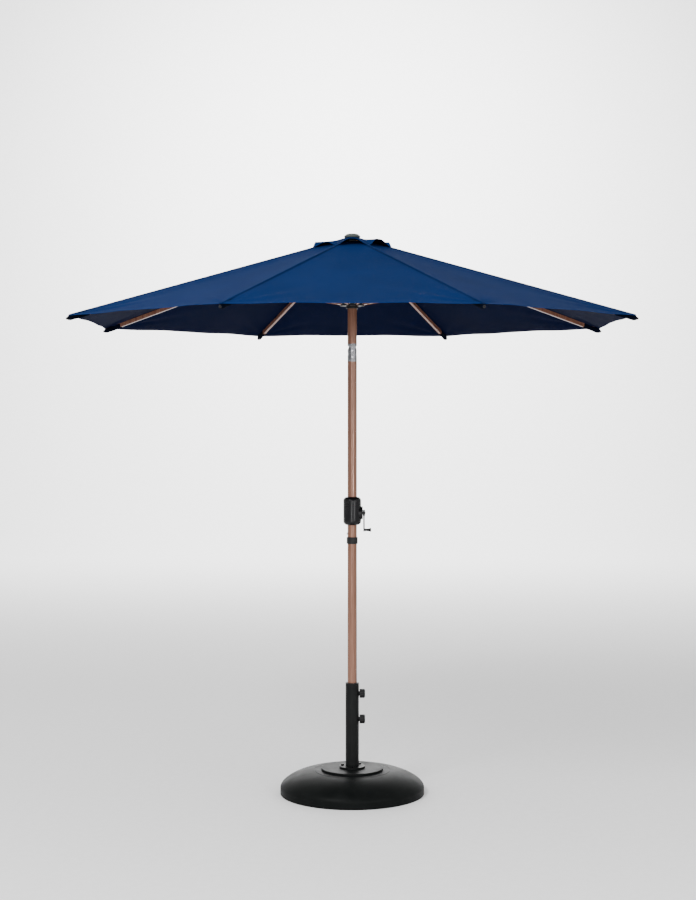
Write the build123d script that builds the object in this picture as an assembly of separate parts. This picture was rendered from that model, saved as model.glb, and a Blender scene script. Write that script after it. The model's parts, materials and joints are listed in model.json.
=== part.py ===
from build123d import *
import math
import os

os.makedirs("parts", exist_ok=True)

# An eight-rib crank-lift market umbrella with a push-button tilt, standing in a
# round weighted base. Origin: centre of the base's underside. +Z is up, -Y is the
# front, and the crank and the clamp knobs are on the +X side.
# Millimetres and degrees.

# Base and stand
BASE_RADIUS = 321
BASE_WALL_HEIGHT = 28
DOME_HEIGHT = 104
DOME_HANDLES = ((321, 58), (234, 104))
DOME_RIM_RADIUS = 139
SHELL_THICKNESS = 3
DISC_RADIUS = 138.5
DISC_TOP = 113
DISC_EDGE_RADIUS = 3
GROOVE_RADIUS = 169
GROOVE_Z = 103.6
BASE_PLATE_THICKNESS = 3
BALLAST_TOP = 30
FLANGE_RADIUS = 57.5
FLANGE_TOP = 121
FLANGE_BOLT_CIRCLE = 45
FLANGE_BOLT_RADIUS = 4
FLANGE_BOLT_ANGLES = (-75, 45, 165)
STAND_TUBE_RADIUS = 30
STAND_TUBE_BORE = 28
STAND_TUBE_TOP = 489
SLEEVE_BOTTOM = 300
SLEEVE_LIP = 3
CLAMP_HEIGHTS = {"lower": 329, "upper": 443}
CLAMP_SCREW_RADIUS = 4.9
CLAMP_NUT_RADIUS = 10
CLAMP_NUT_END = 36.5
KNOB_RADIUS = 20
KNOB_LOBES = 8
KNOB_START = 33
KNOB_EDGE = 6
KNOB_SCALLOP = 5
KNOB_SCALLOP_DEPTH = 2.2
KNOB_END = 57.5

# Poles
POLE_RADIUS = 21
POLE_BORE = 19.25
SPIGOT_RADIUS = 19.1
POLE_FOOT_Z = 113.3
LOWER_POLE_BOTTOM = 118
LOWER_POLE_TOP = 1127
NECK_BORE = 17.5
NECK_TOP = 1190
COLLAR_Z = (1112, 1142)
COLLAR_RADIUS = 25
SNAP_BUTTON_Z = 1157
SNAP_BUTTON_RADIUS = 4.3
SNAP_BUTTON_REACH = 25
TOP_POLE_BOTTOM = 2005.2
TOP_POLE_TOP = 2459

# Crank
HOUSING_Z = (1196, 1285, 1322)
HOUSING_RADIUS = 40
HOUSING_WALL = 3
HOUSING_CORNER = 18
CRANK_Z = 1250
CRANK_BOSS_RADIUS = 29
CRANK_BOSS_END = 47.2
CRANK_SHAFT_RADIUS = 5
SPOOL_RADIUS = 14
SPOOL_HALF_WIDTH = 10
CRANK_HUB_RADIUS = 14
CRANK_HUB_X = (47.8, 57.6)
CRANK_ARM_X = (49.2, 55.8)
CRANK_ARM_HALF_WIDTH = 7
CRANK_ARM_LENGTH = 76
GRIP_PIN_RADIUS = 3
GRIP_END = 84.5

# Tilt joint
TILT_BOTTOM = 1926
TILT_PIN_Z = 1974
TILT_PIN_RADIUS = 4
CHEEK_RADIUS = 20.7
TONGUE_HALF_WIDTH = 7
TILT_SHOULDER = 21.4
TILT_BUTTON_Z = 1946
TILT_BUTTON_RADIUS = 5.2

# Frame: ribs, struts, hub and runner
RIB_COUNT = 8
FIRST_RIB_AZIMUTH = 22.5
RIB_SLOPE = 16.6
HUB_PIVOT_R = 46
HUB_PIVOT_Z = 2457
HUB_RADIUS = 58
HUB_CORE_RADIUS = 33
HUB_BELOW_PIVOT = 14
HUB_ABOVE_PIVOT = 11
RIB_LENGTH = 1278
RIB_WIDTH = 12
RIB_DEPTH = 18
RIB_WALL = 1.2
RIB_BODY_START = 21
TONGUE_WIDTH = 8
HUB_PIN_RADIUS = 2
BRACKET_AT = 560
BRACKET_DROP = 18
BRACKET_THICKNESS = 2.2
RUNNER_PIVOT_R = 47.5
RUNNER_PIVOT_Z = 2183
RUNNER_Z = (2162, 2208)
RUNNER_RADIUS = 26.5
RUNNER_BORE = 22.8
RUNNER_FLANGE_RADIUS = 54
RUNNER_FLANGE_HALF_HEIGHT = 9
STRUT_WIDTH = 10
STRUT_DEPTH = 13
STRUT_WALL = 1.5
EYE_RADIUS = 6.5
PIVOT_PIN_RADIUS = 2.5
PIVOT_CLEARANCE = 0.15
RUNNER_PIN_LENGTH = STRUT_WIDTH + 5

# Canopy, vent cap and finial
CLOTH_THICKNESS = 1.5
CLOTH_ABOVE_RIB = 1.4
CANOPY_RADIUS = 1280
VENT_RADIUS = 85
VENT_CAP_RADIUS = 189
VENT_CAP_RIM_Z = 2428
VENT_CAP_TOP_RADIUS = 12
VENT_CAP_TOP_Z = 2484
PANEL_GAP = 0.2
FINIAL_RADIUS = 37
FINIAL_Z = (2480, 2497)
FINIAL_RECESS = 8

AZIMUTHS = [FIRST_RIB_AZIMUTH + 360 / RIB_COUNT * k for k in range(RIB_COUNT)]
HALF_GORE = 180 / RIB_COUNT


def cylinder_z(radius, low, high):
    """A cylinder on the pole's axis between two heights."""
    return Pos(0, 0, (low + high) / 2) * Cylinder(radius, high - low)


def tube_z(outer, inner, low, high):
    """A tube on the pole's axis between two heights."""
    return cylinder_z(outer, low, high) - cylinder_z(inner, low - 1, high + 1)


def cylinder_x(radius, low, high, z):
    """A cylinder parallel to X at height z, in the plane y = 0."""
    return Pos((low + high) / 2, 0, z) * Rot(0, 90, 0) * Cylinder(radius, high - low)


def cylinder_y(radius, low, high, z, x=0):
    """A cylinder parallel to Y at height z."""
    return Pos(x, (low + high) / 2, z) * Rot(90, 0, 0) * Cylinder(radius, high - low)


def box_between(low, high):
    """A box from its lowest to its highest corner."""
    size = [b - a for a, b in zip(low, high)]
    centre = [(a + b) / 2 for a, b in zip(low, high)]
    return Pos(*centre) * Box(*size)


def outline(*edges):
    """The flat face inside a closed run of (radius, height) edges."""
    return make_face(edges)


def turned(face):
    """The solid that a face of (radius, height) sweeps about the pole's axis."""
    return revolve(Plane.XZ * face, Axis.Z)


def save(shape, name):
    """Write one sub-part."""
    export_step(shape, f"parts/{name}.step")


# ---------------------------------------------------------------- base and stand


def dome(inset=0):
    """The section of the base up to its shoulder, drawn in at its side and its top."""
    side = (BASE_RADIUS - inset) / BASE_RADIUS
    top = (DOME_HEIGHT - inset) / DOME_HEIGHT
    foot = (BASE_RADIUS * side, 0)
    wall_top = (BASE_RADIUS * side, BASE_WALL_HEIGHT)
    handles = [(r * side, z * top) for r, z in DOME_HANDLES]
    rim = (DOME_RIM_RADIUS, DOME_HEIGHT - inset)
    crown = (0, DOME_HEIGHT - inset)
    curve = Bezier(wall_top, *handles, rim)
    lines = [Line(foot, wall_top), curve, Line(rim, crown), Line(crown, (0, 0))]
    return outline(Line((0, 0), foot), *lines)


def bolt_places():
    """Where the flange bolts stand."""
    for angle in FLANGE_BOLT_ANGLES:
        a = math.radians(angle)
        yield FLANGE_BOLT_CIRCLE * math.cos(a), FLANGE_BOLT_CIRCLE * math.sin(a)


def base_shell():
    low = DOME_HEIGHT - 2
    shoulder = DISC_TOP - DISC_EDGE_RADIUS
    inner = DISC_RADIUS - DISC_EDGE_RADIUS
    half = DISC_EDGE_RADIUS * math.sqrt(0.5)
    bend = (inner + half, shoulder + half)
    edge = (DISC_RADIUS, shoulder)
    flat_sides = Polyline((inner, DISC_TOP), (0, DISC_TOP), (0, low), (DISC_RADIUS, low), edge)
    disc = outline(*flat_sides.edges(), ThreePointArc(edge, bend, (inner, DISC_TOP)))
    groove = Pos(GROOVE_RADIUS, GROOVE_Z) * Circle(2)
    shell = turned(dome() + disc - dome(SHELL_THICKNESS) - groove)
    for x, y in bolt_places():
        hole = cylinder_z(FLANGE_BOLT_RADIUS + 0.1, DOME_HEIGHT - 2, DISC_TOP + 1)
        shell -= Pos(x, y, 0) * hole
    return shell


def base_ballast():
    bottom = BASE_PLATE_THICKNESS + 0.3
    middle = Pos(BASE_RADIUS / 2, (bottom + BALLAST_TOP) / 2)
    return turned(dome(SHELL_THICKNESS + 0.3) & middle * Rectangle(BASE_RADIUS, BALLAST_TOP - bottom))


def base_plate():
    return cylinder_z(BASE_RADIUS - SHELL_THICKNESS - 0.6, 0, BASE_PLATE_THICKNESS)


def stand_flange():
    flange = cylinder_z(FLANGE_RADIUS, DISC_TOP, FLANGE_TOP)
    flange = chamfer(flange.edges().group_by(Axis.Z)[-1], 1.5)
    flange -= cylinder_z(STAND_TUBE_RADIUS + 0.05, DISC_TOP - 1, FLANGE_TOP + 1)
    for x, y in bolt_places():
        hole = cylinder_z(FLANGE_BOLT_RADIUS + 0.1, DISC_TOP - 1, FLANGE_TOP + 1)
        flange -= Pos(x, y, 0) * hole
    return flange


def flange_bolt(x, y):
    head = Pos(0, 0, FLANGE_TOP) * extrude(RegularPolygon(7.5, 6), 5)
    shank = cylinder_z(FLANGE_BOLT_RADIUS, DOME_HEIGHT, FLANGE_TOP)
    return Pos(x, y, 0) * (head + shank)


def clamp_holes(radius):
    """The screw holes through one wall, at both clamp heights."""
    holes = [cylinder_x(radius, 15, 45, z) for z in CLAMP_HEIGHTS.values()]
    return holes[0] + holes[1]


def stand_tube():
    tube = tube_z(STAND_TUBE_RADIUS, STAND_TUBE_BORE, DISC_TOP, STAND_TUBE_TOP)
    return tube - clamp_holes(CLAMP_SCREW_RADIUS + 0.4)


def stand_sleeve():
    top = STAND_TUBE_TOP + SLEEVE_LIP
    bore = POLE_RADIUS + 0.4
    body = cylinder_z(STAND_TUBE_BORE - 0.1, SLEEVE_BOTTOM, top)
    lip = cylinder_z(STAND_TUBE_RADIUS, STAND_TUBE_TOP + 0.05, top)
    lip = fillet(lip.edges().group_by(Axis.Z)[-1], 1)
    sleeve = body + lip - cylinder_z(bore, SLEEVE_BOTTOM - 1, top + 1)
    return sleeve - clamp_holes(CLAMP_SCREW_RADIUS + 0.7)


def clamp_nut(z):
    nut = cylinder_x(CLAMP_NUT_RADIUS, STAND_TUBE_BORE, CLAMP_NUT_END, z)
    nut -= cylinder_z(STAND_TUBE_RADIUS + 0.05, z - 20, z + 20)
    return nut - cylinder_x(CLAMP_SCREW_RADIUS + 0.2, 20, 45, z)


def clamp_pad(z):
    return cylinder_x(CLAMP_SCREW_RADIUS, POLE_RADIUS + 0.35, 25.4, z)


def clamp_knob(z):
    """A lobed hand knob on its screw, lying along X, hollowed to clear its nut."""
    head = cylinder_x(KNOB_RADIUS, KNOB_START, KNOB_END, z)
    head = fillet(head.edges().filter_by(GeomType.CIRCLE).sort_by(Axis.X)[-1], KNOB_EDGE)
    for k in range(KNOB_LOBES):
        a = 2 * math.pi * k / KNOB_LOBES
        scallop = cylinder_x(KNOB_SCALLOP, KNOB_START - 1, KNOB_END + 1, 0)
        reach = KNOB_RADIUS + KNOB_SCALLOP - KNOB_SCALLOP_DEPTH
        head -= Pos(0, reach * math.cos(a), z + reach * math.sin(a)) * scallop
    head -= cylinder_x(CLAMP_NUT_RADIUS + 0.6, KNOB_START - 1, CLAMP_NUT_END + 0.6, z)
    return head + cylinder_x(CLAMP_SCREW_RADIUS, 25.6, KNOB_END - 8, z)


# ---------------------------------------------------------------- poles


def pole_foot():
    plug = cylinder_z(POLE_RADIUS - 0.2, POLE_FOOT_Z, LOWER_POLE_BOTTOM - 0.1)
    return plug + cylinder_z(SPIGOT_RADIUS - 0.1, POLE_FOOT_Z, 140)


def snap_hole():
    return cylinder_x(SNAP_BUTTON_RADIUS + 0.3, -30, -10, SNAP_BUTTON_Z)


def lower_pole():
    """The lower tube, its top swaged to a neck that enters the upper pole."""
    step = LOWER_POLE_TOP - 22
    pole = tube_z(POLE_RADIUS, POLE_BORE, LOWER_POLE_BOTTOM, step)
    pole += tube_z(POLE_RADIUS, NECK_BORE, step, LOWER_POLE_TOP)
    pole += tube_z(SPIGOT_RADIUS, NECK_BORE, LOWER_POLE_TOP, NECK_TOP)
    return pole - snap_hole()


def pole_collar():
    collar = tube_z(COLLAR_RADIUS, POLE_RADIUS + 0.05, *COLLAR_Z)
    outer = collar.edges().filter_by(GeomType.CIRCLE).sort_by(SortBy.RADIUS)[-2:]
    return fillet(outer, 2.5)


def main_pole():
    """The upper pole, from the collar to the tilt joint."""
    bottom = LOWER_POLE_TOP + 0.3
    pole = tube_z(POLE_RADIUS, POLE_BORE, bottom, TILT_BOTTOM)
    return pole - snap_hole() - cylinder_x(CRANK_SHAFT_RADIUS + 0.6, -30, 30, CRANK_Z)


def snap_button():
    """A round-nosed spring button with the flange that keeps it in the neck."""
    nose = cylinder_x(SNAP_BUTTON_RADIUS, -SNAP_BUTTON_REACH, -11, SNAP_BUTTON_Z)
    nose = fillet(nose.edges().sort_by(Axis.X)[0], 1.5)
    return nose + cylinder_x(SNAP_BUTTON_RADIUS + 2, -14, -11, SNAP_BUTTON_Z)


# ---------------------------------------------------------------- crank


def housing_blank(low, high, round_end):
    """A hollow barrel part round the pole, closed and rounded at one end."""
    body = cylinder_z(HOUSING_RADIUS, low, high)
    level = 0 if round_end == "low" else -1
    body = fillet(body.edges().group_by(Axis.Z)[level], HOUSING_CORNER)
    cavity_low = low + (HOUSING_WALL if round_end == "low" else -1)
    cavity_high = high - (HOUSING_WALL if round_end == "high" else -1)
    cavity = cylinder_z(HOUSING_RADIUS - HOUSING_WALL, cavity_low, cavity_high)
    cavity = fillet(cavity.edges().group_by(Axis.Z)[level], HOUSING_CORNER - HOUSING_WALL)
    return body - cavity - cylinder_z(POLE_RADIUS + 0.1, low - 1, high + 1)


def crank_housing():
    low, split, _ = HOUSING_Z
    boss = cylinder_x(CRANK_BOSS_RADIUS, 28, CRANK_BOSS_END, CRANK_Z)
    boss -= cylinder_z(HOUSING_RADIUS - HOUSING_WALL, low, split)
    boss = boss & cylinder_z(90, low, split)
    housing = housing_blank(low, split, "low") + boss
    return housing - cylinder_x(CRANK_SHAFT_RADIUS + 0.1, 30, 60, CRANK_Z)


def crank_housing_cap():
    _, split, high = HOUSING_Z
    return housing_blank(split + 0.4, high, "high")


def crank_spool():
    """The shaft through the pole, with the drum that takes up the lift cord."""
    drum = cylinder_x(SPOOL_RADIUS - 3, -SPOOL_HALF_WIDTH, SPOOL_HALF_WIDTH, CRANK_Z)
    for side in (-1, 1):
        edge = sorted((side * SPOOL_HALF_WIDTH, side * (SPOOL_HALF_WIDTH - 2)))
        drum += cylinder_x(SPOOL_RADIUS, *edge, CRANK_Z)
    return drum + cylinder_x(CRANK_SHAFT_RADIUS, -20, CRANK_HUB_X[0], CRANK_Z)


def crank_arm():
    """A flat strap with rounded ends, and the pin that its grip turns on."""
    near, far = CRANK_ARM_X
    half = CRANK_ARM_HALF_WIDTH
    foot = CRANK_Z - CRANK_ARM_LENGTH
    strap = box_between((near, -half, foot), (far, half, CRANK_Z))
    strap += cylinder_x(half, near, far, CRANK_Z)
    strap += cylinder_x(half, near, far, foot)
    strap += cylinder_x(GRIP_PIN_RADIUS, far - 1, GRIP_END - 6, foot)
    return strap - cylinder_x(2.6, near - 1, far + 1, CRANK_Z)


def crank_hub():
    """The round drive cap on the shaft, slotted for the arm."""
    hub = cylinder_x(CRANK_HUB_RADIUS, *CRANK_HUB_X, CRANK_Z)
    hub = fillet(hub.edges().filter_by(GeomType.CIRCLE).sort_by(Axis.X)[-1], 2)
    half = CRANK_ARM_HALF_WIDTH + 0.1
    near, far = CRANK_ARM_X[0] - 0.1, CRANK_ARM_X[1] + 0.1
    slot = box_between((near, -half, CRANK_Z - 40), (far, half, CRANK_Z))
    slot += cylinder_x(half, near, far, CRANK_Z)
    return hub - slot - cylinder_x(2.6, CRANK_ARM_X[0], 60, CRANK_Z)


def crank_screw():
    head = cylinder_x(5, CRANK_HUB_X[1], CRANK_HUB_X[1] + 2.5, CRANK_Z)
    head = fillet(head.edges().sort_by(Axis.X)[-1], 1)
    return head + cylinder_x(2.5, CRANK_ARM_X[0], CRANK_HUB_X[1], CRANK_Z)


def crank_grip():
    """A handle that flares towards its free end, on the arm's pin."""
    start = CRANK_ARM_X[1] + 0.4
    z = CRANK_Z - CRANK_ARM_LENGTH
    profile = Spline((start, 7), (start + 9, 5.6), (start + 20, 7), (GRIP_END, 9))
    edges = [
        Line((start, 0), (start, 7)),
        profile,
        Line((GRIP_END, 9), (GRIP_END, 0)),
        Line((GRIP_END, 0), (start, 0)),
    ]
    grip = Pos(0, 0, z) * revolve(Plane.XY * make_face(edges), Axis.X)
    return grip - cylinder_x(GRIP_PIN_RADIUS + 0.15, start - 1, GRIP_END - 5.5, z)


# ---------------------------------------------------------------- tilt joint


def tilt_lower():
    """The lower half: a spigot in the pole and two round-topped cheeks."""
    body = cylinder_z(POLE_RADIUS, TILT_BOTTOM + 0.1, TILT_PIN_Z)
    cheeks = cylinder_y(CHEEK_RADIUS, -30, 30, TILT_PIN_Z)
    body += cheeks & cylinder_z(POLE_RADIUS, TILT_PIN_Z, TILT_PIN_Z + 30)
    body += cylinder_z(SPIGOT_RADIUS, TILT_BOTTOM - 36, TILT_BOTTOM + 1)
    half = TONGUE_HALF_WIDTH + 0.2
    floor = TILT_PIN_Z - TILT_SHOULDER
    body -= box_between((-40, -half, floor), (40, half, TILT_PIN_Z + 40))
    body -= cylinder_y(TILT_PIN_RADIUS + 0.05, -30, 30, TILT_PIN_Z)
    return body - cylinder_y(TILT_BUTTON_RADIUS + 0.3, -30, -6, TILT_BUTTON_Z)


def tilt_upper():
    """The upper half: a tongue between the cheeks and a spigot in the top pole."""
    shoulder = TILT_PIN_Z + TILT_SHOULDER
    half = TONGUE_HALF_WIDTH
    tongue = cylinder_y(CHEEK_RADIUS, -half, half, TILT_PIN_Z)
    tongue += box_between((-17, -half, TILT_PIN_Z), (17, half, shoulder + 1))
    tongue = tongue & cylinder_z(POLE_RADIUS - 0.2, TILT_BOTTOM, shoulder + 1)
    body = tongue + cylinder_z(POLE_RADIUS, shoulder, TOP_POLE_BOTTOM - 0.1)
    body += cylinder_z(SPIGOT_RADIUS, shoulder, TOP_POLE_BOTTOM + 36)
    return body - cylinder_y(TILT_PIN_RADIUS + 0.1, -30, 30, TILT_PIN_Z)


def tilt_pin():
    return cylinder_y(TILT_PIN_RADIUS, -19.8, 19.8, TILT_PIN_Z)


def tilt_button():
    button = cylinder_y(TILT_BUTTON_RADIUS, -22.2, -10, TILT_BUTTON_Z)
    return fillet(button.edges().filter_by(GeomType.CIRCLE).sort_by(Axis.Y)[0], 1)


# ---------------------------------------------------------------- frame


def tangent_pins(radius, at_r, z, length):
    """One short pin across each rib's or strut's slot."""
    pins = [Rot(0, 0, a) * cylinder_y(radius, -length / 2, length / 2, z, at_r) for a in AZIMUTHS]
    return sum(pins[1:], pins[0])


def radial_slots(width, r_from, low, high):
    """Slots that run outwards, one at each rib's azimuth."""
    slot = box_between((r_from, -width / 2, low), (HUB_RADIUS + 20, width / 2, high))
    slots = [Rot(0, 0, a) * slot for a in AZIMUTHS]
    return sum(slots[1:], slots[0])


def top_hub():
    """The slotted crown that the ribs hang from."""
    low = HUB_PIVOT_Z - HUB_BELOW_PIVOT
    high = HUB_PIVOT_Z + HUB_ABOVE_PIVOT
    hub = cylinder_z(HUB_RADIUS, low, high)
    hub = chamfer(hub.edges().group_by(Axis.Z)[-1], 3)
    hub -= radial_slots(TONGUE_WIDTH + 0.8, HUB_CORE_RADIUS, low - 1, high + 1)
    hub += tangent_pins(HUB_PIN_RADIUS, HUB_PIVOT_R, HUB_PIVOT_Z, TONGUE_WIDTH + 5)
    hub += cylinder_z(9, high - 1, FINIAL_Z[0] + FINIAL_RECESS - 0.2)
    return hub - cylinder_z(POLE_RADIUS + 0.05, low - 1, TOP_POLE_TOP + 0.2)


def runner():
    """The sliding hub: a sleeve and a slotted flange, drilled for the strut pins."""
    low, high = RUNNER_Z
    flange_low = RUNNER_PIVOT_Z - RUNNER_FLANGE_HALF_HEIGHT
    flange_high = RUNNER_PIVOT_Z + RUNNER_FLANGE_HALF_HEIGHT
    body = cylinder_z(RUNNER_RADIUS, low, high)
    body = fillet(body.edges().group_by(Axis.Z)[0], 2)
    flange = cylinder_z(RUNNER_FLANGE_RADIUS, flange_low, flange_high)
    flange -= radial_slots(STRUT_WIDTH + 0.8, RUNNER_RADIUS + 2, flange_low - 1, flange_high + 1)
    bore = PIVOT_PIN_RADIUS + PIVOT_CLEARANCE
    holes = tangent_pins(bore, RUNNER_PIVOT_R, RUNNER_PIVOT_Z, 2 * STRUT_WIDTH)
    return body + flange - holes - cylinder_z(RUNNER_BORE, low - 1, high + 1)


def strut_pivot():
    """Where a strut meets its rib's bracket, as radius and height, canopy open."""
    s = math.radians(RIB_SLOPE)
    r = HUB_PIVOT_R + BRACKET_AT * math.cos(s) - BRACKET_DROP * math.sin(s)
    z = HUB_PIVOT_Z - BRACKET_AT * math.sin(s) - BRACKET_DROP * math.cos(s)
    return r, z


def rib():
    """A rectangular tube with a flat tongue at the hub and the strut's bracket,
    drawn along +X from the hub pivot."""
    half_width, half_depth = RIB_WIDTH / 2, RIB_DEPTH / 2
    body = box_between(
        (RIB_BODY_START, -half_width, -half_depth), (RIB_LENGTH, half_width, half_depth)
    )
    inner_width, inner_depth = half_width - RIB_WALL, half_depth - RIB_WALL
    body -= box_between(
        (45, -inner_width, -inner_depth), (RIB_LENGTH + 1, inner_width, inner_depth)
    )
    tongue_half = TONGUE_WIDTH / 2
    body += box_between((0, -tongue_half, -8), (RIB_BODY_START + 1, tongue_half, 8))
    body += cylinder_y(8, -tongue_half, tongue_half, 0)
    body -= cylinder_y(HUB_PIN_RADIUS + 0.15, -10, 10, 0)
    cheek_low = -BRACKET_DROP - EYE_RADIUS
    cheek_outer = half_width + BRACKET_THICKNESS
    for low, high in ((-cheek_outer, -half_width), (half_width, cheek_outer)):
        start, end = BRACKET_AT - 14, BRACKET_AT + 14
        cheek = box_between((start, low, cheek_low), (end, high, half_depth - 2))
        body += fillet(cheek.edges().filter_by(Axis.Y).group_by(Axis.Z)[0], 6)
    pin = cylinder_y(PIVOT_PIN_RADIUS, -cheek_outer, cheek_outer, -BRACKET_DROP, BRACKET_AT)
    return body + pin


def strut(length):
    """A downward-open channel with an eye at each end, drawn along +X from the
    runner's pin, which is pressed into it, to the bracket's pin."""
    half_width, half_depth = STRUT_WIDTH / 2, STRUT_DEPTH / 2
    body = box_between((0, -half_width, -half_depth), (length, half_width, half_depth))
    inner = half_width - STRUT_WALL
    body -= box_between((22, -inner, -half_depth - 1), (length - 22, inner, half_depth - STRUT_WALL))
    for x in (0, length):
        body += cylinder_y(EYE_RADIUS, -half_width, half_width, 0, x)
    body += cylinder_y(PIVOT_PIN_RADIUS, -RUNNER_PIN_LENGTH / 2, RUNNER_PIN_LENGTH / 2, 0, 0)
    bore = PIVOT_PIN_RADIUS + PIVOT_CLEARANCE
    return body - cylinder_y(bore, -half_width - 1, half_width + 1, 0, length)


# ---------------------------------------------------------------- canopy


def polar(r, azimuth, z):
    a = math.radians(azimuth)
    return r * math.cos(a), r * math.sin(a), z


def half_gore(side, inner, outer):
    """One flat half gore beside the ridge at azimuth 0. inner and outer are
    (ridge radius, height) of its two edges, which run square to the gore's middle."""
    corners = []
    for r, z in (inner, outer):
        middle = Vector(*polar(r * math.cos(math.radians(HALF_GORE)), side * HALF_GORE, z))
        square = Vector(*polar(PANEL_GAP, side * (HALF_GORE - 90), 0))
        corners += [Vector(r, 0, z), middle + square]
    ring = [corners[0], corners[2], corners[3], corners[1]]
    face = Face(Wire.make_polygon(ring, close=True))
    return extrude(face, amount=CLOTH_THICKNESS, dir=(0, 0, 1))


def cloth_height(r):
    """Height of the cloth's underside over a rib at radius r."""
    slope = math.radians(RIB_SLOPE)
    rise = RIB_DEPTH / 2 / math.cos(slope) + CLOTH_ABOVE_RIB
    return HUB_PIVOT_Z + rise - (r - HUB_PIVOT_R) * math.tan(slope)


def canopy_panel():
    """The cloth that one rib carries: half a gore on each side of it."""
    inner = (VENT_RADIUS, cloth_height(VENT_RADIUS))
    outer = (CANOPY_RADIUS, cloth_height(CANOPY_RADIUS))
    return half_gore(1, inner, outer) + half_gore(-1, inner, outer)


def vent_cap():
    """The octagonal cap over the vent, closed at its seams."""
    ridge = math.cos(math.radians(HALF_GORE))
    cap = None
    for azimuth in AZIMUTHS:
        points = [
            polar(VENT_CAP_TOP_RADIUS, azimuth, VENT_CAP_TOP_Z),
            polar(VENT_CAP_RADIUS, azimuth, VENT_CAP_RIM_Z),
            polar(VENT_CAP_RADIUS, azimuth + 2 * HALF_GORE, VENT_CAP_RIM_Z),
            polar(VENT_CAP_TOP_RADIUS, azimuth + 2 * HALF_GORE, VENT_CAP_TOP_Z),
        ]
        face = Face(Wire.make_polygon([Vector(*p) for p in points], close=True))
        gore = extrude(face, amount=CLOTH_THICKNESS, dir=(0, 0, 1))
        cap = gore if cap is None else cap + gore
    return cap


def finial():
    """The low round cap that clamps the vent cap down."""
    low, high = FINIAL_Z
    edge = (FINIAL_RADIUS, low + 5)
    flat = (FINIAL_RADIUS / 3, high)
    crown = ThreePointArc(edge, (FINIAL_RADIUS * 0.75, high - 3), flat)
    roof = low + FINIAL_RECESS
    under = Polyline((0, roof), (VENT_CAP_TOP_RADIUS, roof), (FINIAL_RADIUS - 2, low), edge)
    return turned(outline(*under.edges(), crown, Line(flat, (0, high)), Line((0, high), (0, roof))))


save(base_shell(), "base_shell")
save(base_ballast(), "base_ballast")
save(base_plate(), "base_plate")
save(stand_flange(), "stand_flange")
for number, place in enumerate(bolt_places(), 1):
    save(flange_bolt(*place), f"flange_bolt_{number}")
save(stand_tube(), "stand_tube")
save(stand_sleeve(), "stand_sleeve")
for clamp, height in CLAMP_HEIGHTS.items():
    save(clamp_nut(height), f"clamp_nut_{clamp}")
    save(clamp_pad(height), f"clamp_pad_{clamp}")
    save(clamp_knob(height), f"clamp_knob_{clamp}")

save(pole_foot(), "pole_foot")
save(lower_pole(), "lower_pole")
save(pole_collar(), "pole_collar")
save(main_pole(), "main_pole")
save(snap_button(), "snap_button")
save(crank_housing(), "crank_housing")
save(crank_housing_cap(), "crank_housing_cap")
save(crank_spool(), "crank_spool")
save(crank_hub(), "crank_hub")
save(crank_arm(), "crank_arm")
save(crank_screw(), "crank_screw")
save(crank_grip(), "crank_grip")

save(tilt_lower(), "tilt_lower")
save(tilt_upper(), "tilt_upper")
save(tilt_pin(), "tilt_pin")
save(tilt_button(), "tilt_button")

save(tube_z(POLE_RADIUS, POLE_BORE, TOP_POLE_BOTTOM, TOP_POLE_TOP), "top_pole")
save(top_hub(), "top_hub")
save(finial(), "finial")
save(runner(), "runner")
save(vent_cap(), "vent_cap")

pivot_r, pivot_z = strut_pivot()
strut_reach = pivot_r - RUNNER_PIVOT_R
strut_rise = pivot_z - RUNNER_PIVOT_Z
strut_angle = math.degrees(math.atan2(strut_rise, strut_reach))
one_rib = Pos(HUB_PIVOT_R, 0, HUB_PIVOT_Z) * Rot(0, RIB_SLOPE, 0) * rib()
one_strut = strut(math.hypot(strut_reach, strut_rise))
one_strut = Pos(RUNNER_PIVOT_R, 0, RUNNER_PIVOT_Z) * Rot(0, -strut_angle, 0) * one_strut
one_panel = canopy_panel()
for number, azimuth in enumerate(AZIMUTHS, 1):
    save(Rot(0, 0, azimuth) * one_rib, f"rib_{number}")
    save(Rot(0, 0, azimuth) * one_strut, f"strut_{number}")
    save(Rot(0, 0, azimuth) * one_panel, f"canopy_panel_{number}")
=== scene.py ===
import json
import math

import bpy
from mathutils import Matrix, Vector


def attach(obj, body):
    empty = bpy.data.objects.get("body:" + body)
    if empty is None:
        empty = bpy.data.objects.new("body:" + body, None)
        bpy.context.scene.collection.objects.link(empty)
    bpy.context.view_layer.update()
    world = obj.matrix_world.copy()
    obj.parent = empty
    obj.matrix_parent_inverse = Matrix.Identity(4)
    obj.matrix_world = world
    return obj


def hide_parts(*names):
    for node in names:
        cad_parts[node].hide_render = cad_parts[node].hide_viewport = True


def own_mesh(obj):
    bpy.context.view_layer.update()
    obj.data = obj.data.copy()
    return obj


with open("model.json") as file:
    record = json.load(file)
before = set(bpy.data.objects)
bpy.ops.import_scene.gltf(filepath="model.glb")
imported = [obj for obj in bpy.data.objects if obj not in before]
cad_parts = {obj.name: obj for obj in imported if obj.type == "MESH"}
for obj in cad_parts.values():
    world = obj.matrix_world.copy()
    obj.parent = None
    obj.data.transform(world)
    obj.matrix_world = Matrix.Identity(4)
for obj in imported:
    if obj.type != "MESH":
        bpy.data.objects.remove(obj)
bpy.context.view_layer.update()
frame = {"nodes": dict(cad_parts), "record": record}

# An open market umbrella in its base. Metres, in the frame's own axes: +Z up, -Y front.

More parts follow.
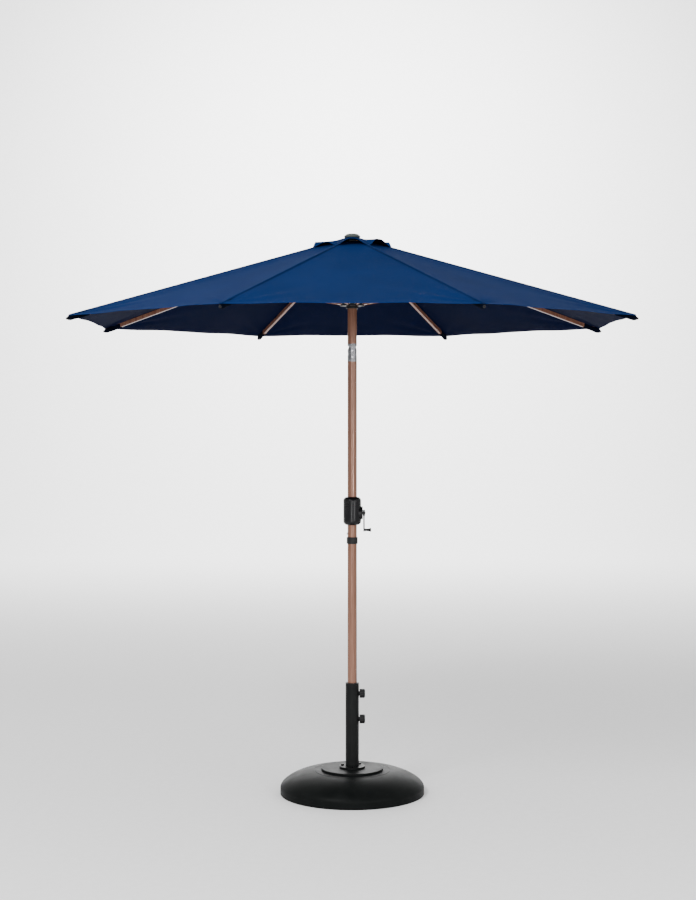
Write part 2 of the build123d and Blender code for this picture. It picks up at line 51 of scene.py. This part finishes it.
# The canopy's frame
RIBS = 8
HALF_GORE = math.pi / RIBS
SLOPE = math.tan(math.radians(16.6))
HUB_R, HUB_Z = 0.046, 2.457
RIB_HALF_DEPTH = 0.009
BRACKET_AT, BRACKET_DROP = 0.56, 0.018
BRACKET_HALF_WIDTH = 0.0082
RUNNER_Z = 2.183
RUNNER_FLANGE_R = 0.054
RUNNER_SCREW_TURN = math.radians(9.2)
RUNNER_SCREW_SIZE = 0.4

# The cloth
CLOTH = 0.0012
RIB_CLEARANCE = 0.0014
CANOPY_R = 1.28
VENT_R = 0.085
RIM_HOLLOW = 0.016
GORE_SAG = 0.007
TAPE_HALF_WIDTH = 0.0085
TAPE_LIFT = 0.0022
TAPE_THICKNESS = 0.0009
TAPE_SETBACK = 0.004
POCKET_SPAN = (1.196, 1.290)
HEM = 0.012
STITCH = 0.007
THREAD = 0.0011
SEAM_ROW, SEAM_LAP = 0.006, 0.0095
SEAM_THREAD, HEM_THREAD = 0.0011, 0.0009

# The vent cap
CROWN_R = 0.05
CROWN_HOLE_R = 0.011
CROWN_LAP = 0.0005
CAP_R = 0.189
CAP_MIDDLE_R, CAP_MIDDLE_Z = 0.02, 2.4815
CAP_HEM_Z = 2.4285
CAP_HOLLOW = 0.012
CAP_ARCHES = (0.029, 0.031, 0.027, 0.030, 0.017, 0.030, 0.032, 0.028)
CAP_TUCK = 0.008

# The view, and a floor that bends upwards far behind the umbrella
CAMERA_DISTANCE = 5.5 * CANOPY_R
CAMERA_HEIGHT = 1.6745
CAMERA_LENS = 63.0
CAMERA_SHIFT = (-0.0047, -0.0357)
FLOOR_FRONT, FLOOR_STEP, FLOOR_ROWS = -24, 0.5, 91
FLOOR_BEND, FLOOR_CURVE = 12, 0.22
FLOOR_TILE = 2.6

# Colours, linear
NAVY = (0.0031, 0.0165, 0.074)
# Painted shade: the underside's navy is the same canvas, darkened for the shade under the
# canopy.
NAVY_PAINTED_SHADE_UNDER = (0.0003, 0.0024, 0.0170)
NAVY_DARK = (0.0012, 0.0026, 0.0080)
TAN = (0.215, 0.104, 0.067)
TAN_DARK = (0.125, 0.055, 0.035)
RIB_TAN = (0.250, 0.120, 0.080)
RIB_TAN_DARK = (0.115, 0.048, 0.033)
BLACK = (0.0045, 0.0049, 0.0049)


# ------------------------------------------------------------------ materials


class Shader:
    """A material's node tree, with the few kinds of node that the finishes share."""

    def __init__(self, name):
        self.material = bpy.data.materials.new(name)
        self.material.use_nodes = True
        self.tree = self.material.node_tree
        self.main = self.tree.nodes["Principled BSDF"]
        self.place = self.add("ShaderNodeTexCoord").outputs["Object"]

    def add(self, kind, **values):
        node = self.tree.nodes.new(kind)
        for key, value in values.items():
            setattr(node, key, value)
        return node

    def put(self, value, socket):
        """Link a socket, or set a constant."""
        if isinstance(value, bpy.types.NodeSocket):
            self.tree.links.new(value, socket)
        else:
            socket.default_value = value

    def set(self, name, value):
        self.put(value, self.main.inputs[name])

    def stretched(self, scale):
        """The place, scaled along each axis."""
        node = self.add("ShaderNodeVectorMath", operation="MULTIPLY")
        self.put(self.place, node.inputs[0])
        node.inputs[1].default_value = scale
        return node.outputs[0]

    def noise(self, where, scale, detail=3, roughness=0.55):
        node = self.add("ShaderNodeTexNoise")
        self.put(where, node.inputs["Vector"])
        node.inputs["Scale"].default_value = scale
        node.inputs["Detail"].default_value = detail
        node.inputs["Roughness"].default_value = roughness
        return node.outputs["Fac"]

    def ramp(self, value, low, high, start=0.0, end=1.0):
        """value carried from the range low..high to start..end, and held there."""
        node = self.add("ShaderNodeMapRange")
        for socket, number in zip(node.inputs, (value, low, high, start, end)):
            self.put(number, socket)
        return node.outputs[0]

    def math(self, operation, a, b=0.0):
        node = self.add("ShaderNodeMath", operation=operation)
        self.put(a, node.inputs[0])
        self.put(b, node.inputs[1])
        return node.outputs[0]

    def distance(self, value, mark):
        """How far value is from mark."""
        return self.math("ABSOLUTE", self.math("SUBTRACT", value, mark))

    def dashes(self, along):
        """1 on each stitch of a row that runs along the value, and 0 in the gaps."""
        wave = self.math("SINE", self.math("MULTIPLY", along, 2 * math.pi / STITCH))
        return self.math("GREATER_THAN", wave, -0.3)

    def mix(self, share, a, b):
        """Colour a, turning into colour b."""
        node = self.add("ShaderNodeMix", data_type="RGBA")
        self.put(share, node.inputs["Factor"])
        for value, socket in ((a, node.inputs[6]), (b, node.inputs[7])):
            self.put(value if isinstance(value, bpy.types.NodeSocket) else (*value, 1), socket)
        return node.outputs[2]

    def bump(self, height, depth, strength=1.0):
        node = self.add("ShaderNodeBump")
        node.inputs["Strength"].default_value = strength
        node.inputs["Distance"].default_value = depth
        self.put(height, node.inputs["Height"])
        self.set("Normal", node.outputs["Normal"])


def wood_look(name, light, dark):
    """Coated metal printed with fine upright grain, with a soft gloss."""
    s = Shader(name)
    grain = s.noise(s.stretched((1, 1, 0.035)), 210, 5, 0.65)
    cloud = s.noise(s.stretched((1, 1, 0.2)), 18, 2)
    colour = s.mix(s.ramp(grain, 0.36, 0.66), dark, light)
    s.set("Base Color", s.mix(s.ramp(cloud, 0.3, 0.8, 0, 0.35), colour, light))
    s.set("Roughness", s.ramp(grain, 0.3, 0.7, 0.24, 0.15))
    s.set("Metallic", 0.3)
    s.set("Specular IOR Level", 0.4)
    s.bump(grain, 0.0002, 0.25)
    return s.material


def moulded(name, colour, roughness, texture=0.0002, shine=0.5):
    """A moulded or powder-coated surface: a fine texture, and patches a little lighter."""
    s = Shader(name)
    fine = s.noise(s.place, 900, 2)
    broad = s.noise(s.place, 14, 4)
    lighter = tuple(1.4 * c + 0.002 for c in colour)
    s.set("Base Color", s.mix(s.ramp(broad, 0.42, 0.8, 0, 0.6), colour, lighter))
    s.set("Roughness", s.ramp(broad, 0.3, 0.75, roughness, roughness + 0.12))
    s.set("Specular IOR Level", shine)
    s.bump(fine, texture, 0.3)
    return s.material


def bare_metal(name, colour, roughness, upright=False):
    """Brushed or cast metal; upright brushing runs along the pole."""
    s = Shader(name)
    lines = s.noise(s.stretched((1, 1, 0.05) if upright else (1, 1, 1)), 600, 3)
    broad = s.noise(s.place, 40, 3)
    darker = tuple(0.72 * c for c in colour)
    s.set("Base Color", s.mix(s.ramp(broad, 0.35, 0.75), colour, darker))
    s.set("Metallic", 1.0)
    s.set("Roughness", s.ramp(lines, 0.3, 0.7, roughness - 0.06, roughness + 0.08))
    s.bump(lines, 0.0001, 0.25)
    return s.material


def stone():
    """Cast concrete, closed in by the base."""
    s = Shader("concrete")
    grain = s.noise(s.place, 160, 6, 0.7)
    s.set("Base Color", s.mix(s.ramp(grain, 0.35, 0.7), (0.2, 0.19, 0.18), (0.42, 0.4, 0.38)))
    s.set("Roughness", 0.9)
    s.bump(grain, 0.001)
    return s.material


def cloth(name, colour, shade, stitched=True):
    """Canvas. The cloth's own map gives metres from the seam and from the hem, which place
    the weave, the seam's rows of stitches, painted shade at the lap's edge, and the hem's
    stitches and fold."""
    s = Shader(name)
    split = s.add("ShaderNodeSeparateXYZ")
    s.put(s.add("ShaderNodeUVMap", uv_map="cloth").outputs[0], split.inputs[0])
    across, along = split.outputs[0], split.outputs[1]
    threads = 2 * math.pi / THREAD
    warp = s.math("SINE", s.math("MULTIPLY", across, threads))
    weft = s.math("SINE", s.math("MULTIPLY", along, threads))
    weave = s.math("MULTIPLY", warp, weft)
    slub = s.noise(s.place, 260, 3)
    fade = s.noise(s.place, 2.6, 4)
    body = s.mix(s.ramp(fade, 0.35, 0.7), shade, colour)
    body = s.mix(s.ramp(slub, 0.3, 0.75, 0, 0.22), body, tuple(1.7 * c for c in colour))
    if stitched:
        from_seam = s.math("ABSOLUTE", across)
        side = s.distance(from_seam, SEAM_ROW)
        row = s.math("MULTIPLY", s.math("LESS_THAN", side, SEAM_THREAD), s.dashes(along))
        hem = s.distance(along, HEM - 0.002)
        hem_row = s.math("MULTIPLY", s.math("LESS_THAN", hem, HEM_THREAD), s.dashes(across))
        thread = s.math("MAXIMUM", row, hem_row)
        # A dark line along the lap's edge: painted shade, where the lapped cloth steps down.
        lap_shade_distance = s.distance(from_seam, SEAM_LAP)
        body = s.mix(s.ramp(lap_shade_distance, 0.0, 0.0028, 0.6, 0.0), body, tuple(0.3 * c for c in colour))
        folded = s.math("LESS_THAN", along, HEM)
        body = s.mix(s.math("MULTIPLY", folded, 0.35), body, tuple(1.9 * c for c in colour))
        body = s.mix(s.math("MULTIPLY", thread, 0.75), body, tuple(0.25 * c for c in colour))
    s.set("Base Color", body)
    s.set("Roughness", s.ramp(slub, 0.3, 0.7, 0.78, 0.9))
    s.set("Specular IOR Level", 0.02)
    pucker = s.noise(s.place, 46, 3)
    height = s.math("ADD", s.math("MULTIPLY", weave, 0.1), pucker)
    s.bump(height, 0.0012, 0.5)
    light = s.add("ShaderNodeBsdfTranslucent")
    s.put(body, light.inputs["Color"])
    both = s.add("ShaderNodeMixShader")
    both.inputs[0].default_value = 0.03
    s.put(s.main.outputs[0], both.inputs[1])
    s.put(light.outputs[0], both.inputs[2])
    s.put(both.outputs[0], s.tree.nodes["Material Output"].inputs["Surface"])
    return s.material


finishes = {
    "base_black": moulded("base_coating", (0.0040, 0.0047, 0.0046), 0.38, shine=0.035),
    "ballast": stone(),
    "black_steel": moulded("powder_coat", BLACK, 0.36, shine=0.09),
    "black_plastic": moulded("gloss_black", (0.0030, 0.0030, 0.0038), 0.2, 0.00001, shine=0.2),
    "satin_plastic": moulded("satin_black", (0.005, 0.005, 0.0055), 0.42, shine=0.2),
    "zinc": bare_metal("zinc", (0.50, 0.50, 0.52), 0.26),
    "pole_finish": wood_look("tan_wood_look", TAN, TAN_DARK),
    "rib_finish": wood_look("rib_wood_look", RIB_TAN, RIB_TAN_DARK),
    "tilt_metal": bare_metal("cast_alloy", (0.20, 0.20, 0.21), 0.24, upright=True),
    "crank_metal": bare_metal("dark_steel", (0.030, 0.030, 0.033), 0.36),
    "canopy_cloth": cloth("navy_canvas", NAVY, tuple(0.82 * c for c in NAVY)),
    "finial_plastic": moulded("grey_green_cap", (0.045, 0.053, 0.048), 0.5),
}
# The canvas's underside, darkened as painted shade for the shade under the canopy.
painted_shade_underside = cloth("navy_canvas_painted_shade_underside", NAVY_PAINTED_SHADE_UNDER, tuple(0.8 * c for c in NAVY_PAINTED_SHADE_UNDER))
pocket_shade = tuple(0.5 * c for c in NAVY_DARK)
pocket_cloth = cloth("pocket_canvas", NAVY_DARK, pocket_shade, stitched=False)

slot_of = {part["node"]: part["material_slot"] for part in frame["record"]["subparts"]}
for name, node in frame["nodes"].items():
    node.data.materials.clear()
    node.data.materials.append(finishes[slot_of[name]])


# ------------------------------------------------------------------ mesh helpers


def mesh_object(name, points, faces, material, maps=None):
    """A mesh piece; maps gives each point its place on the flat cloth."""
    mesh = bpy.data.meshes.new(name)
    mesh.from_pydata([tuple(p) for p in points], [], faces)
    if maps is not None:
        layer = mesh.uv_layers.new(name="cloth")
        for loop in mesh.loops:
            layer.data[loop.index].uv = maps[loop.vertex_index]
    mesh.materials.append(material)
    mesh.update()
    mesh.shade_smooth()
    mesh.set_sharp_from_angle(angle=math.radians(50))
    piece = bpy.data.objects.new(name, mesh)
    bpy.context.scene.collection.objects.link(piece)
    return piece


def sheet_object(name, rows, maps, thickness=CLOTH):
    """A closed thin sheet over a grid of rows of points, its lower face on the grid. The
    cloth's underside is painted darker than its face: painted shade under the canopy."""
    count = len(rows[0])
    low = [p for row in rows for p in row]
    high = []
    for i, row in enumerate(rows):
        for k, point in enumerate(row):
            along = rows[min(i + 1, len(rows) - 1)][k] - rows[max(i - 1, 0)][k]
            across = row[min(k + 1, count - 1)] - row[max(k - 1, 0)]
            normal = along.cross(across).normalized()
            high.append(point + thickness * (normal if normal.z > 0 else -normal))
    total = len(low)
    faces = []
    for i in range(len(rows) - 1):
        for k in range(count - 1):
            a = i * count + k
            faces.append((a, a + 1, a + count + 1, a + count))
            faces.append((a + total, a + count + total, a + count + 1 + total, a + 1 + total))
    last = (len(rows) - 1) * count
    edge = list(range(count))
    edge += [i * count + count - 1 for i in range(1, len(rows))]
    edge += [last + k for k in range(count - 2, -1, -1)]
    edge += [i * count for i in range(len(rows) - 2, 0, -1)]
    for a, b in zip(edge, edge[1:] + edge[:1]):
        faces.append((b, a, a + total, b + total))
    piece = mesh_object(name, low + high, faces, finishes["canopy_cloth"], maps=maps + maps)
    piece.data.materials.append(painted_shade_underside)
    for face in piece.data.polygons:
        face.material_index = int(all(index < total for index in face.vertices))
    return piece


def skin(name, rings, material):
    """A closed piece through rings of points, capped at both ends."""
    count = len(rings[0])
    points = [p for ring in rings for p in ring]
    faces = [tuple(range(count - 1, -1, -1))]
    for i in range(len(rings) - 1):
        for k in range(count):
            a, b = i * count + k, i * count + (k + 1) % count
            faces.append((a, b, b + count, a + count))
    faces.append(tuple((len(rings) - 1) * count + k for k in range(count)))
    return mesh_object(name, points, faces, material)


def turned(name, profile, place, material, sides=20):
    """A round piece from (radius, distance along the place's Z) points."""
    turns = [2 * math.pi * k / sides for k in range(sides)]
    rings = [
        [place @ Vector((radius * math.cos(t), radius * math.sin(t), height)) for t in turns]
        for radius, height in profile
    ]
    return skin(name, rings, material)


def facing(point, direction):
    """A place at point whose Z runs along direction."""
    turn = Vector(direction).to_track_quat("Z", "Y").to_matrix().to_4x4()
    return Matrix.Translation(point) @ turn


# (radius, distance) along each small fastener or end
RIVET = (
    (0.0036, -0.0004),
    (0.0042, 0.0004),
    (0.0040, 0.0012),
    (0.0028, 0.0020),
    (0.0013, 0.0022),
    (0.0011, 0.0016),
)
NUB = ((0.0052, -0.002), (0.0056, 0.001), (0.0052, 0.004), (0.0036, 0.0066), (0.0014, 0.0078))


# ------------------------------------------------------------------ canopy


def under_height(r):
    """Height of the cloth's underside over a rib."""
    rib_top = HUB_Z + RIB_HALF_DEPTH / math.cos(math.atan(SLOPE))
    return rib_top + RIB_CLEARANCE - (r - HUB_R) * SLOPE


def eased(t):
    """t as 0 to 1 with level ends, and held there."""
    t = min(max(t, 0.0), 1.0)
    return t * t * (3 - 2 * t)


def gore_point(ridge_r, across, height):
    """A point of the cloth that one rib carries, with the rib along +X. ridge_r names the
    line square to the gore's middle that it lies on, and across runs from -1 to 1."""
    middle_r = ridge_r * math.cos(HALF_GORE)
    share = abs(across)
    x = ridge_r + share * (middle_r * math.cos(HALF_GORE) - ridge_r)
    y = across * middle_r * math.sin(HALF_GORE)
    return Vector((x, y, height))


def tip_wrinkle(ridge_r, across):
    """Shallow folds that fan out from the rib's tip, where the cloth is pulled tight."""
    back = CANOPY_R - ridge_r
    side = abs(across) * ridge_r * math.sin(HALF_GORE)
    distance = math.hypot(back, side)
    angle = math.atan2(side, max(back, 1e-6))
    fan = math.sin(math.pi * min(angle / 1.2, 1.0)) * math.sin(8.5 * angle + 0.7)
    reach = eased(distance / 0.09) * math.exp(-((distance / 0.24) ** 2))
    return 0.0075 * fan * reach


def hem_wave(ridge_r, across, phase):
    """The hem's slight unevenness between two tips."""
    near = math.exp(-((CANOPY_R - ridge_r) / 0.16) ** 2)
    return 0.0022 * near * math.sin(math.pi * abs(across)) * math.sin(7 * across + phase)


def panel(number, turn):
    """One rib's share of the canopy: the cloth from the middle of one gore to the next."""
    rows, maps = [], []
    steps, half = 46, 18
    for i in range(steps + 1):
        t = i / steps
        base_r = VENT_R + (CANOPY_R - VENT_R) * (1 - (1 - t) ** 1.25)
        row = []
        for k in range(-half, half + 1):
            across = k / half
            bow = 1 - (1 - abs(across)) ** 2
            hollow = RIM_HOLLOW * bow * t ** 3
            r = base_r - hollow
            sag = GORE_SAG * bow * math.sin(math.pi * min(t * 0.86 + 0.07, 1))
            lift = tip_wrinkle(r, across) + hem_wave(r, across, number * 1.7)
            row.append(turn @ gore_point(r, across, under_height(r) - sag + lift))
            maps.append((across * r * math.sin(HALF_GORE), (CANOPY_R - base_r) * 1.02))
        rows.append(row)
    return sheet_object(f"canopy_cloth_{number}", rows, maps)


def seam_tape(number, turn):
    """The folded seam over the rib, which stays on it when the cloth is furled."""
    rows, maps = [], []
    steps, half = 40, 3
    for i in range(steps + 1):
        r = CAP_R - CAP_TUCK + (CANOPY_R - TAPE_SETBACK - CAP_R + CAP_TUCK) * i / steps
        row = []
        for k in range(-half, half + 1):
            side = TAPE_HALF_WIDTH * k / half
            drop = 0.13 * abs(side) + 0.0012 * (k / half) ** 2
            row.append(turn @ Vector((r, side, under_height(r) + CLOTH + TAPE_LIFT - drop)))
            maps.append((side, 0.03 + (CANOPY_R - r) * 1.04))
        rows.append(row)
    return sheet_object(f"seam_tape_{number}", rows, maps, TAPE_THICKNESS)


def cap_height(r, across, number=1):
    """The vent cap's underside: tight along the ribs, arched between them, where the
    stiff hem buckles upwards by a different amount in each gore."""
    rise = min(max((r - CROWN_R) / (CAP_R - CROWN_R), 0), 1)
    gore = number - 1 if across > 0 else number - 2
    arch = CAP_ARCHES[gore] * rise ** 1.4 * eased(abs(across) * 1.15)
    fall = (r - CAP_MIDDLE_R) * (CAP_MIDDLE_Z - CAP_HEM_Z) / (CAP_R - CAP_MIDDLE_R)
    return CAP_MIDDLE_Z - fall + arch


def cap_flap(number, turn):
    """One rib's share of the vent cap."""
    rows, maps = [], []
    steps, half = 14, 14
    for i in range(steps + 1):
        t = i / steps
        base_r = CROWN_R + (CAP_R - CROWN_R) * t
        row = []
        for k in range(-half, half + 1):
            across = k / half
            r = base_r - CAP_HOLLOW * eased(abs(across)) * t ** 2
            row.append(turn @ gore_point(r, across, cap_height(r, across, number)))
            maps.append((across * r * math.sin(HALF_GORE), (CAP_R - base_r) * 1.03))
        rows.append(row)
    return sheet_object(f"vent_flap_{number}", rows, maps)


def crown():
    """The middle of the vent cap, clamped under the finial."""
    rows, maps = [], []
    corners, steps = 2 * RIBS, 4
    for i in range(steps + 1):
        base_r = CROWN_HOLE_R + (CROWN_R + CROWN_LAP - CROWN_HOLE_R) * i / steps
        row = []
        for k in range(corners + 1):
            angle = HALF_GORE * k
            r = base_r if k % 2 else base_r * math.cos(HALF_GORE)
            row.append(Vector((r * math.cos(angle), r * math.sin(angle), cap_height(base_r, 0))))
            maps.append((0.05 + r * math.cos(angle), 0.2 + r * math.sin(angle)))
        rows.append(row)
    return sheet_object("vent_crown", rows, maps)


def rib_place(turn, along, side=0.0, up=0.0):
    """A point beside a rib's centre line: distance from the hub, sideways, square to it."""
    angle = math.atan(SLOPE)
    x = HUB_R + along * math.cos(angle) + up * math.sin(angle)
    z = HUB_Z - along * math.sin(angle) + up * math.cos(angle)
    return turn @ Vector((x, side, z))


def pocket(number, turn):
    """The sewn pocket that holds the rib's end: a soft square sleeve, drawn in at its tip."""
    start, end = POCKET_SPAN
    rings = []
    steps, sides = 14, 24
    for i in range(steps + 1):
        t = i / steps
        puff = 1 + 0.06 * math.sin(2.6 * math.pi * t + number)
        close = (0.55, 0.85)[steps - i] if i > steps - 2 else 1.0
        width, depth = 0.0082 * puff * close, 0.0112 * puff * close
        ring = []
        for k in range(sides):
            angle = 2 * math.pi * k / sides
            c, s = math.cos(angle), math.sin(angle)
            side = width * math.copysign(abs(c) ** 0.55, c)
            up = depth * math.copysign(abs(s) ** 0.55, s) - 0.0008
            ring.append(rib_place(turn, start + (end - start) * t, side, up))
        rings.append(ring)
    return skin(f"rib_pocket_{number}", rings, pocket_cloth)


def rib_nub(number, turn):
    """The rounded plastic end of a rib, just proud of its pocket."""
    tip = rib_place(turn, POCKET_SPAN[1] - 0.001)
    out = rib_place(turn, POCKET_SPAN[1] + 0.01) - tip
    return turned(f"rib_nub_{number}", NUB, facing(tip, out), finishes["satin_plastic"], 16)


def rivet(name, point, direction, size=1.0):
    """A small domed head."""
    profile = [(size * radius, size * height) for radius, height in RIVET]
    return turned(name, profile, facing(point, direction), finishes["zinc"], 16)


for number in range(1, RIBS + 1):
    azimuth = (2 * number - 1) * HALF_GORE
    turn = Matrix.Rotation(azimuth, 4, "Z")
    tangent = turn @ Vector((0, 1, 0))
    body, fold = f"rib_{number}", f"rib_fold_{number}"

    main = panel(number, turn)
    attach(main, body)
    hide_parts(f"canopy_panel_{number}")
    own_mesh(main)
    tape = seam_tape(number, turn)
    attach(tape, body)

    flap = cap_flap(number, turn)
    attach(flap, body)
    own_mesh(flap)

    sleeve = pocket(number, turn)
    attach(sleeve, body)
    nub = rib_nub(number, turn)
    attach(nub, body)

    for side, letter in ((-1, "a"), (1, "b")):
        head = rib_place(turn, BRACKET_AT, side * BRACKET_HALF_WIDTH, -BRACKET_DROP)
        piece = rivet(f"bracket_rivet_{number}_{letter}", head, side * tangent)
        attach(piece, body)
        screw_turn = azimuth + side * RUNNER_SCREW_TURN
        out = Vector((math.cos(screw_turn), math.sin(screw_turn), 0))
        spot = RUNNER_FLANGE_R * out + Vector((0, 0, RUNNER_Z))
        piece = rivet(f"runner_screw_{number}_{letter}", spot, out, RUNNER_SCREW_SIZE)
        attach(piece, "runner")

middle = crown()
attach(middle, "top")
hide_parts("vent_cap")


# ------------------------------------------------------------------ floor, light and camera


def floor():
    """A wide pale floor that curves up well behind the umbrella."""
    rows = []
    for i in range(FLOOR_ROWS):
        y = FLOOR_FRONT + FLOOR_STEP * i
        z = FLOOR_CURVE * max(y - FLOOR_BEND, 0) ** 2
        rows.append([Vector((x * FLOOR_TILE, y, z)) for x in range(-10, 11)])
    count = len(rows[0])
    points = [p for row in rows for p in row]
    faces = [
        (a, a + 1, a + count + 1, a + count)
        for i in range(len(rows) - 1)
        for a in range(i * count, i * count + count - 1)
    ]
    s = Shader("pale_floor")
    grain = s.noise(s.place, 30, 3)
    s.set("Base Color", s.mix(s.ramp(grain, 0.3, 0.7), (0.86, 0.86, 0.86), (0.9, 0.9, 0.9)))
    s.set("Roughness", 0.85)
    piece = mesh_object("studio_floor", points, faces, s.material)


def area_light(name, place, aim, size, power, height=None):
    """A soft light that faces aim: round, or an upright strip of the given height."""
    data = bpy.data.lights.new(name, "AREA")
    data.size = size
    if height:
        data.shape = "RECTANGLE"
        data.size_y = height
    else:
        data.shape = "DISK"
    data.energy = power
    lamp = bpy.data.objects.new(name, data)
    lamp.matrix_world = facing(Vector(place), Vector(place) - Vector(aim))
    lamp.visible_camera = False
    bpy.context.scene.collection.objects.link(lamp)


def camera():
    """A level view from the front, from a little below the canopy's rim."""
    data = bpy.data.cameras.new("camera")
    data.lens = CAMERA_LENS
    data.shift_x, data.shift_y = CAMERA_SHIFT
    eye = bpy.data.objects.new("camera", data)
    eye.location = (0, -CAMERA_DISTANCE, CAMERA_HEIGHT)
    eye.rotation_euler = (math.pi / 2, 0, 0)
    bpy.context.scene.collection.objects.link(eye)
    bpy.context.scene.camera = eye


floor()
world = bpy.data.worlds.new("studio")
world.use_nodes = True
sky = world.node_tree.nodes["Background"]
sky.inputs["Color"].default_value = (1, 1, 1, 1)
sky.inputs["Strength"].default_value = 1.0
bpy.context.scene.world = world
area_light("key", (-3.0, -4.5, 5.4), (0, 0, 1.8), 2.2, 420)
area_light("fill", (4.5, -4.0, 2.6), (0, 0, 1.2), 2.0, 60)
area_light("strip", (-0.75, -6.2, 1.5), (0, 0, 1.5), 0.12, 110, height=2.6)
area_light("low", (2.6, -5.0, 1.3), (0, 0, 0.1), 0.5, 60)
area_light("backdrop", (0, 11.0, 9.0), (0, 17.5, 3.0), 6.0, 3200)
camera()
